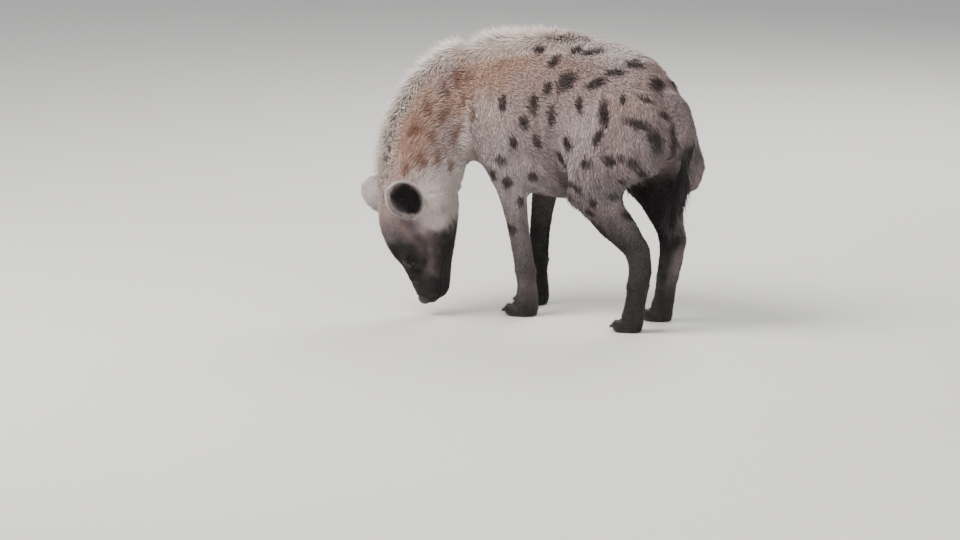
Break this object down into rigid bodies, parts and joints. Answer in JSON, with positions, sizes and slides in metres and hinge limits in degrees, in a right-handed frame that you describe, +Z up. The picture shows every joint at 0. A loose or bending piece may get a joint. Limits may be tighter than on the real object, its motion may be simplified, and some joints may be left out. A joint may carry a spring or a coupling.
{
  "type": "spotted hyena model",
  "caption": "Life-size spotted hyena, standing with its head lowered to the ground and turned to its left, with a short mane and a tufted tail.",
  "frame": {"origin": "the middle of the bounding box's footprint, on the ground plane under the feet", "axes": "+Z up; +X from the chest to the tail, so the animal stands facing -X; its left side is -Y, and the head is turned to that side"},
  "size_m": [0.8728, 0.5496, 0.7569],
  "materials": {
    "coat": "short, coarse fur, warm buff to grey, with dark brown spots",
    "mane": "longer upright fur, pale sand with a warm orange cast",
    "tuft": "long black-brown hair",
    "paw": "very short dark fur",
    "ear": "short fur outside, sparse dark hair inside, pale rim",
    "nose": "moist, fine-grained black skin",
    "eye": "wet, dark brown",
    "claw": "blunt dark horn"
  },
  "bodies": {
    "root": {"torso": "coat", "neck": "mane", "head": "coat", "ear_left": "ear", "ear_right": "ear", "eye_left": "eye", "eye_right": "eye", "nose": "nose", "tail": "coat", "tail_tuft": "tuft", "upper_arm_left": "coat", "forearm_left": "coat", "forefoot_left": "paw", "upper_arm_right": "coat", "forearm_right": "coat", "forefoot_right": "paw", "thigh_left": "coat", "shank_left": "coat", "hindfoot_left": "paw", "thigh_right": "coat", "shank_right": "coat", "hindfoot_right": "paw", "claw_fore_left_1": "claw", "claw_fore_left_2": "claw", "claw_fore_left_3": "claw", "claw_fore_left_4": "claw", "claw_fore_right_1": "claw", "claw_fore_right_2": "claw", "claw_fore_right_3": "claw", "claw_fore_right_4": "claw", "claw_hind_left_1": "claw", "claw_hind_left_2": "claw", "claw_hind_left_3": "claw", "claw_hind_left_4": "claw", "claw_hind_right_1": "claw", "claw_hind_right_2": "claw", "claw_hind_right_3": "claw", "claw_hind_right_4": "claw"}
  },
  "joints": []
}
